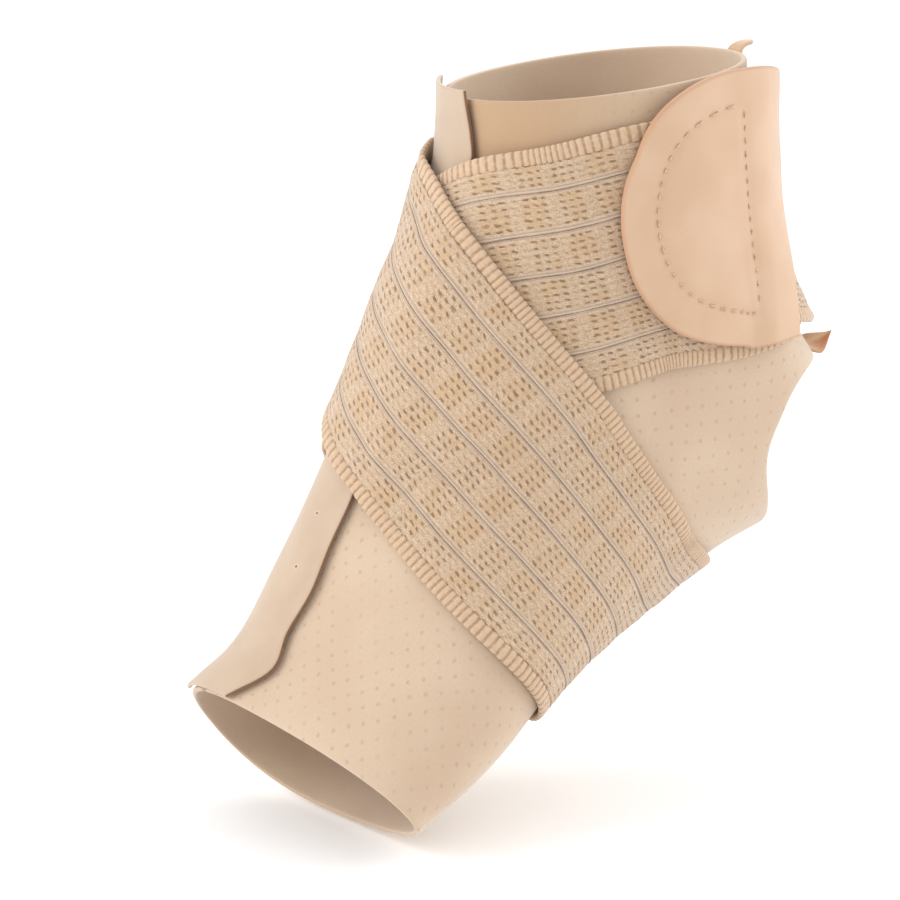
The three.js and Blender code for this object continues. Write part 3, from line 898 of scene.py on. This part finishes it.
def knit_material():
    """Open elastic knit: lengthwise ridges of yarn with painted shade in the valleys between them,
    and there short pinholes painted brown as the shadow in them, three to a block along the
    strap and none beside the rubber threads."""
    n = Nodes("knitted_elastic")
    along, across, _ = n.laid()
    flat = n.join(along, across)
    u = n.math("ADD", along, n.centred(n.streaks(along, across, 0.16, 0.3), 2.0))
    v = n.math("ADD", across, n.centred(n.streaks(along, across, 0.5, 0.7), 1.0))
    panel = n.math("DIVIDE", across, THREAD_PITCH)
    in_panel = n.math("SUBTRACT", panel, n.math("ROUND", panel))
    from_thread = n.product(n.math("ABSOLUTE", in_panel), THREAD_PITCH)
    block = n.math("FRACT", n.math("DIVIDE", u, HOLE_BLOCK))
    jitter = n.centred(n.streaks(along, across, 0.9, 0.6, 1), 0.5)
    column = n.math("FRACT", n.math("ADD", n.product(block, 4.0), jitter))
    in_column = n.math("SUBTRACT", column, 0.5)
    slanted = n.math("ADD", v, n.product(in_column, 0.45))
    turn = n.product(n.math("ADD", slanted, THREAD_PITCH / 2), 2 * np.pi / HOLE_ROW)
    valley = n.partly(n.math("COSINE", turn), 0.5)
    row_mask = n.step(valley, 0.68, 0.98)
    column_mask = n.within(n.math("ABSOLUTE", in_column), 0.1, 0.4)
    in_block = n.within(n.math("ABSOLUTE", n.math("SUBTRACT", block, 0.375)), 0.24, 0.46)
    clear = n.step(from_thread, 1.0, 1.6)
    patchy = n.step(n.noise(flat, 0.24, 2), 0.32, 0.62)
    hole = n.product(row_mask, column_mask, clear, n.partly(in_block, 0.75), n.partly(patchy, 0.4))
    yarn = n.streaks(u, v, 0.6, 2.4, 3, 0.65)
    fuzz = n.streaks(u, v, 2.2, 4.2, 2, 0.6)
    pale = n.mix(n.step(yarn, 0.3, 0.66), tone(172, 141, 112), tone(202, 176, 149))
    # Painted shade in the valleys between the ridges of yarn.
    pale = n.stain(pale, n.product(valley, clear), 0.25, tone(168, 130, 93))
    # Pale flecks of fuzz: partly the yarn's lighter fibres, partly painted highlight.
    pale = n.stain(pale, n.step(fuzz, 0.4, 0.64), 0.65, tone(222, 200, 173))
    warm = n.product(in_block, clear, n.step(n.noise(flat, 0.11, 2), 0.38, 0.6))
    pale = n.stain(pale, warm, 0.34, tone(194, 156, 108))
    pale = n.stain(pale, n.within(from_thread, 0.4, 1.5), 0.4, tone(202, 185, 168))
    beside = n.math("ABSOLUTE", n.math("SUBTRACT", from_thread, 0.62))
    pale = n.stain(pale, n.within(beside, 0.08, 0.3), 0.38, tone(142, 112, 88))
    # Painted shadow in the pinholes.
    base = n.stain(pale, hole, 0.85, tone(140, 98, 60))
    relief = n.math("ADD", n.product(yarn, 0.6), n.product(fuzz, 0.4))
    relief = n.math("SUBTRACT", relief, n.product(valley, 0.25))
    height = n.math("SUBTRACT", relief, n.product(hole, 0.8))
    return n.finish(base, 0.9, height, 0.5, sheen=0.4)


def rib_material():
    """Ribbed edge of the knit: painted light on the crest of each rib and painted shade, brown, in
    between.
    """
    n = Nodes("ribbed_edge")
    along, across, crest = n.laid()
    fuzz = n.streaks(along, across, 1.6, 0.8, 3)
    # Painted light and shade: the colour follows the ribs, pale on each crest and brown in each
    # trough.
    share = n.math("ADD", n.step(crest, 0.0, 0.55), n.centred(fuzz, 0.5), clamp=True)
    base = n.mix(share, tone(163, 130, 98), tone(198, 170, 142))
    base = n.stain(base, n.step(fuzz, 0.45, 0.7), 0.35, tone(210, 187, 163))
    return n.finish(base, 0.9, fuzz, 0.2, sheen=0.3)


def thread_material():
    """Rubber thread: greyish white, with the knit's thread crossing it in fine dark bars."""
    n = Nodes("rubber_thread")
    along, across, side = n.laid()
    bars = n.streaks(along, across, 1.2, 1.0)
    shade = n.step(side, -0.5, 0.5)
    base = n.mix(shade, tone(202, 184, 165), tone(134, 110, 92))
    base = n.stain(base, n.step(bars, 0.5, 0.7), 0.4, tone(194, 170, 144))
    return n.finish(base, 0.6, bars, 0.05)


def tab_material():
    """Cover of the tab: a soft peach skin with a very fine pebble grain, and painted shade along
    its rim.
    """
    n = Nodes("tab_cover")
    place = n.object_mm()
    grain = n.noise(place, 2.6, 3, 0.6)
    slow = n.noise(place, 0.05, 2)
    base = n.mix(n.step(slow, 0.3, 0.7), tone(199, 165, 136), tone(206, 174, 146))
    base = n.stain(base, n.step(grain, 0.4, 0.8), 0.15, tone(189, 154, 123))
    # Painted shade along the rim.
    base = n.stain(base, n.painted_shade(), 0.6, tone(181, 130, 93))
    return n.finish(base, 0.62, grain, 0.05, sheen=0.25)


def stitch_material():
    """Thread of the stitching, twisted in fine slanting bars."""
    n = Nodes("stitch_thread")
    place = n.object_mm()
    twist = n.noise(place, 2.2, 2)
    base = n.mix(n.step(twist, 0.4, 0.6), tone(184, 150, 122), tone(214, 184, 156))
    return n.finish(base, 0.7, twist, 0.05)


# The pieces

sleeve = make_sleeve()
flap = make_flap()
seam = make_seam()
strap = make_strap()
upper_edge = make_strap_edge("strap_edge_ankle_side", -1)
lower_edge = make_strap_edge("strap_edge_toe_side", 1)
threads = make_threads()
tab = make_tab()
round_line = np.linspace(np.pi * 0.5, -np.pi * 0.5, 160)
round_reach, round_across = tab_outline(round_line, inset=STITCH_INSET)
round_stitches = stitches("tab_round_stitching", round_reach, round_across, 0.24)
cross_line = np.linspace(round_across.min(), round_across.max(), 60)
cross_stitches = stitches("tab_cross_stitching", np.full(60, CROSS_LINE), cross_line, 0.22)

knit = knit_material()
rib = rib_material()
stitch = stitch_material()
# The third of each set of tones is painted shade.
cream = tone(190, 167, 143), tone(184, 160, 136), tone(126, 90, 62)
seam_tones = tone(202, 172, 138), tone(193, 155, 119), tone(166, 106, 68)
finishes = [
    (sleeve, sleeve_material(), "sleeve_cloth", "sleeve"),
    (flap, plain_material("plain_cloth", *cream, marks=FLAP_MARKS), "flap_cloth", "closure_flap"),
    (seam, plain_material("seam_cloth", *seam_tones), "seam_cloth", "back_seam"),
    (strap, knit, "knitted_elastic", "elastic_strap"),
    (upper_edge, rib, "knitted_elastic", None),
    (lower_edge, rib, "knitted_elastic", None),
    (threads, thread_material(), "knitted_elastic", None),
    (tab, tab_material(), "tab_cover", "hook_tab"),
    (round_stitches, stitch, "tab_cover", None),
    (cross_stitches, stitch, "tab_cover", None),
]
for piece, material, slot, node in finishes:
    piece.data.materials.append(material)
    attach(piece, "root")
    if node:
        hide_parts(node)

# Camera, floor and light

back = Vector((-0.5327, -0.8203, 0.2079)).normalized()
right = Vector((0, 0, 1)).cross(back).normalized()
target = Vector((-38.6, 17.9, -28.3)) * MM
camera = bpy.data.objects.new("camera", bpy.data.cameras.new("camera"))
camera.data.lens, camera.data.sensor_width = 129.2, 36
camera.data.clip_start, camera.data.clip_end = 0.05, 20
basis = Matrix((right, back.cross(right), back)).transposed().to_4x4()
camera.matrix_world = Matrix.Translation(target + back * 0.85) @ basis
bpy.context.scene.collection.objects.link(camera)
bpy.context.scene.camera = camera


def make_floor():
    """Plain floor: one wide pale sheet just under the toe edge."""
    reach, level = 4.0, -0.1186
    corners = [(x * reach, y * reach, level) for x, y in ((-1, -1), (1, -1), (1, 1), (-1, 1))]
    mesh = bpy.data.meshes.new("floor")
    mesh.from_pydata(corners, [], [(0, 1, 2, 3)])
    floor = bpy.data.objects.new("floor", mesh)
    bpy.context.scene.collection.objects.link(floor)
    n = Nodes("pale_floor")
    soft = n.noise(n.add("ShaderNodeTexCoord", output="Object"), 1.5, 2)
    base = n.mix(soft, (0.93, 0.93, 0.93, 1), (0.95, 0.95, 0.95, 1))
    mesh.materials.append(n.finish(base, 0.9, soft, 0.1))
    n.shader.inputs["Emission Color"].default_value = (1, 1, 1, 1)
    n.shader.inputs["Emission Strength"].default_value = 0.06


def soft_light(name, place, size, power):
    """Square white lamp at a place, facing the brace."""
    lamp = bpy.data.lights.new(name, "AREA")
    lamp.shape, lamp.size, lamp.energy = "SQUARE", size, power
    item = bpy.data.objects.new(name, lamp)
    item.location = place
    item.rotation_euler = (target - Vector(place)).to_track_quat("-Z", "Y").to_euler()
    bpy.context.scene.collection.objects.link(item)


make_floor()
soft_light("left_light", (-1.5, 0.5, 0.9), 1.3, 17)
soft_light("right_light", (1.3, -0.5, 0.8), 1.2, 12)
world = bpy.data.worlds.new("studio")
world.use_nodes = True
world.node_tree.nodes["Background"].inputs["Color"].default_value = (1, 1, 1, 1)
world.node_tree.nodes["Background"].inputs["Strength"].default_value = 1.0
bpy.context.scene.world = world
bpy.context.scene.view_settings.view_transform = "Standard"


def line_length(t, a, height):
    """Length in metres of a line over the form at a height: the sum of its steps."""
    line = raised(*np.broadcast_arrays(t, a, height))
    return round(float(np.linalg.norm(np.diff(line, axis=0), axis=1).sum()) * MM, 4)


# Each cloth's size as worn: the sleeve's widest way round and its back, the flap's middle, the
# strap's route, and the tab's middle and its width beside the sewn edge. The sizes that they
# were cut to, before they were stretched, aren't known.
steps = np.linspace(0, 1, 200)
in_wall = SLEEVE_WALL / 2
sleeve_round = max(line_length(t, 2 * np.pi * steps, in_wall) for t in np.linspace(0, 1, 41))
sleeve_back = line_length(steps, np.pi, in_wall)
flap_t = steps * (1 + FLAP_RISE / tallness_at(np.array(1.0), np.array(0.0)))
in_flap = SLEEVE_WALL + LAYER_GAP + FLAP_WALL / 2
flap_down = line_length(flap_t, flap_angle(flap_t, FLAP_WIDTH / 2), in_flap)
near_sewn = np.full_like(steps, 6)
tab_down = line_length(*tab_place(TAB_SEWN + steps * (TAB_LENGTH - TAB_SEWN), 0 * steps))
tab_across = line_length(*tab_place(near_sewn, TAB_WIDTH / 2 * (2 * steps - 1)))
